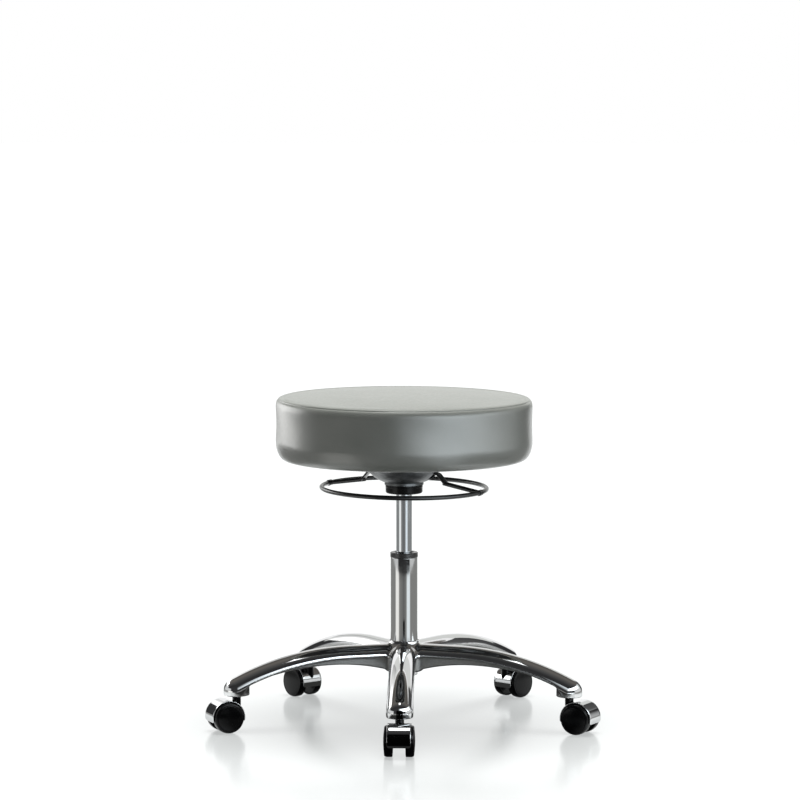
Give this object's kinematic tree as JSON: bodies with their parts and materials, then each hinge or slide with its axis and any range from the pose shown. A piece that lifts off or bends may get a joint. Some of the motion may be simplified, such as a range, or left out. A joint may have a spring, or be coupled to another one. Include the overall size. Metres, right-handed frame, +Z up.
{
  "type": "rolling stool",
  "caption": "Height adjustable rolling stool with a round boxed vinyl cushion, ring release, gas lift and a polished five-arm base on twin-wheel casters.",
  "frame": {"origin": "on the floor, on the axis of the column", "axes": "+Z up along the column; the first arm of the base points along -Y, towards the picture's viewer"},
  "size_m": [0.6675, 0.6337, 0.565],
  "materials": {
    "polished_base": "polished and bright plated cast aluminium",
    "column_chrome": "chrome plated tube",
    "cylinder_chrome": "hard chrome, ground and polished",
    "hood_chrome": "chrome plated pressed steel",
    "dark_collar": "dark satin",
    "dark_steel": "dark grey satin paint",
    "black_lever": "black satin powder coat",
    "gloss_black": "glossy moulded black plastic",
    "black_nylon": "moulded black nylon",
    "wheel_black": "black nylon wheel with a satin hub cap",
    "white_nylon": "natural acetal",
    "steel": "zinc plated steel",
    "brass_cage": "stamped brass",
    "black_rubber": "black rubber",
    "plywood": "birch plywood",
    "foam": "cut polyurethane foam",
    "vinyl": "smooth silver grey upholstery vinyl",
    "dust_cloth": "black spun dust cloth"
  },
  "bodies": {
    "base": {"star_base": "polished_base", "caster_sleeves": "black_nylon", "column_tube": "column_chrome", "column_collar": "dark_collar", "guide_sleeve": "white_nylon", "lower_race": "steel"},
    "rod": {"bearing_balls": "steel", "ball_cage": "brass_cage", "upper_race": "steel", "piston_rod": "cylinder_chrome", "piston_head": "steel", "piston_seal": "black_rubber", "rod_bumper": "black_rubber", "rod_clip": "steel"},
    "seat": {"gas_cylinder": "cylinder_chrome", "rod_seal": "black_rubber", "taper_socket": "steel", "socket_cup": "gloss_black", "seat_plate": "dark_steel", "seat_screws": "steel", "t_nuts": "steel", "seat_board": "plywood", "foam_core": "foam", "vinyl_cover": "vinyl", "dust_cover": "dust_cloth", "staples": "steel"},
    "valve": {"valve_pin": "steel"},
    "release": {"lever_bar": "black_lever", "ring_spokes": "black_lever", "release_ring": "black_lever", "ring_collars": "black_lever"},
    "caster_1": {"caster_1_hood": "hood_chrome", "caster_1_core": "gloss_black", "caster_1_stem": "steel"},
    "caster_1_wheel_left": {"caster_1_wheel_left": "wheel_black"},
    "caster_1_wheel_right": {"caster_1_wheel_right": "wheel_black"},
    "caster_2": {"caster_2_hood": "hood_chrome", "caster_2_core": "gloss_black", "caster_2_stem": "steel"},
    "caster_2_wheel_left": {"caster_2_wheel_left": "wheel_black"},
    "caster_2_wheel_right": {"caster_2_wheel_right": "wheel_black"},
    "caster_3": {"caster_3_hood": "hood_chrome", "caster_3_core": "gloss_black", "caster_3_stem": "steel"},
    "caster_3_wheel_left": {"caster_3_wheel_left": "wheel_black"},
    "caster_3_wheel_right": {"caster_3_wheel_right": "wheel_black"},
    "caster_4": {"caster_4_hood": "hood_chrome", "caster_4_core": "gloss_black", "caster_4_stem": "steel"},
    "caster_4_wheel_left": {"caster_4_wheel_left": "wheel_black"},
    "caster_4_wheel_right": {"caster_4_wheel_right": "wheel_black"},
    "caster_5": {"caster_5_hood": "hood_chrome", "caster_5_core": "gloss_black", "caster_5_stem": "steel"},
    "caster_5_wheel_left": {"caster_5_wheel_left": "wheel_black"},
    "caster_5_wheel_right": {"caster_5_wheel_right": "wheel_black"}
  },
  "joints": [
    {"name": "seat_swivel", "type": "hinge", "parent": "base", "child": "rod", "pos_m": [0, 0, 0.0825], "axis": [0, 0, 1], "continuous": true},
    {"name": "seat_lift", "type": "slide", "parent": "rod", "child": "seat", "axis": [0, 0, 1], "range_m": [-0.095, 0]},
    {"name": "ring_tilt", "type": "hinge", "parent": "seat", "child": "release", "pos_m": [0.05418, -0.02311, 0.4318], "axis": [-0.3923, -0.9198, 0], "range_deg": [0, 3], "stiffness_Nm_per_rad": 30, "springref_deg": -2.86},
    {"name": "valve_press", "type": "slide", "parent": "seat", "child": "valve", "axis": [0, 0, -1], "range_m": [0, 0.0033]},
    {"name": "caster_1_swivel", "type": "hinge", "parent": "base", "child": "caster_1", "pos_m": [0, -0.295, 0.0607], "axis": [0, 0, 1], "continuous": true},
    {"name": "caster_1_left_roll", "type": "hinge", "parent": "caster_1", "child": "caster_1_wheel_left", "pos_m": [-0.00022, -0.3156, 0.026], "axis": [0.9999, -0.0105, 0], "continuous": true},
    {"name": "caster_1_right_roll", "type": "hinge", "parent": "caster_1", "child": "caster_1_wheel_right", "pos_m": [-0.00022, -0.3156, 0.026], "axis": [0.9999, -0.0105, 0], "continuous": true},
    {"name": "caster_2_swivel", "type": "hinge", "parent": "base", "child": "caster_2", "pos_m": [0.28056, -0.09116, 0.0607], "axis": [0, 0, 1], "continuous": true},
    {"name": "caster_2_left_roll", "type": "hinge", "parent": "caster_2", "child": "caster_2_wheel_left", "pos_m": [0.29882, -0.1007, 0.026], "axis": [0.4633, 0.8862, 0], "continuous": true},
    {"name": "caster_2_right_roll", "type": "hinge", "parent": "caster_2", "child": "caster_2_wheel_right", "pos_m": [0.29882, -0.1007, 0.026], "axis": [0.4633, 0.8862, 0], "continuous": true},
    {"name": "caster_3_swivel", "type": "hinge", "parent": "base", "child": "caster_3", "pos_m": [0.1734, 0.23866, 0.0607], "axis": [0, 0, 1], "continuous": true},
    {"name": "caster_3_left_roll", "type": "hinge", "parent": "caster_3", "child": "caster_3_wheel_left", "pos_m": [0.18734, 0.25382, 0.026], "axis": [-0.7361, 0.6769, 0], "continuous": true},
    {"name": "caster_3_right_roll", "type": "hinge", "parent": "caster_3", "child": "caster_3_wheel_right", "pos_m": [0.18734, 0.25382, 0.026], "axis": [-0.7361, 0.6769, 0], "continuous": true},
    {"name": "caster_4_swivel", "type": "hinge", "parent": "base", "child": "caster_4", "pos_m": [-0.1734, 0.23866, 0.0607], "axis": [0, 0, 1], "continuous": true},
    {"name": "caster_4_left_roll", "type": "hinge", "parent": "caster_4", "child": "caster_4_wheel_left", "pos_m": [-0.18702, 0.25411, 0.026], "axis": [-0.7501, -0.6613, 0], "continuous": true},
    {"name": "caster_4_right_roll", "type": "hinge", "parent": "caster_4", "child": "caster_4_wheel_right", "pos_m": [-0.18702, 0.25411, 0.026], "axis": [-0.7501, -0.6613, 0], "continuous": true},
    {"name": "caster_5_swivel", "type": "hinge", "parent": "base", "child": "caster_5", "pos_m": [-0.28056, -0.09116, 0.0607], "axis": [0, 0, 1], "continuous": true},
    {"name": "caster_5_left_roll", "type": "hinge", "parent": "caster_5", "child": "caster_5_wheel_left", "pos_m": [-0.29932, -0.09967, 0.026], "axis": [0.4131, -0.9107, 0], "continuous": true},
    {"name": "caster_5_right_roll", "type": "hinge", "parent": "caster_5", "child": "caster_5_wheel_right", "pos_m": [-0.29932, -0.09967, 0.026], "axis": [0.4131, -0.9107, 0], "continuous": true}
  ],
  "couplings": [
    {"joint": "valve_press", "follows": "ring_tilt", "m_per_rad": 0.0589}
  ]
}
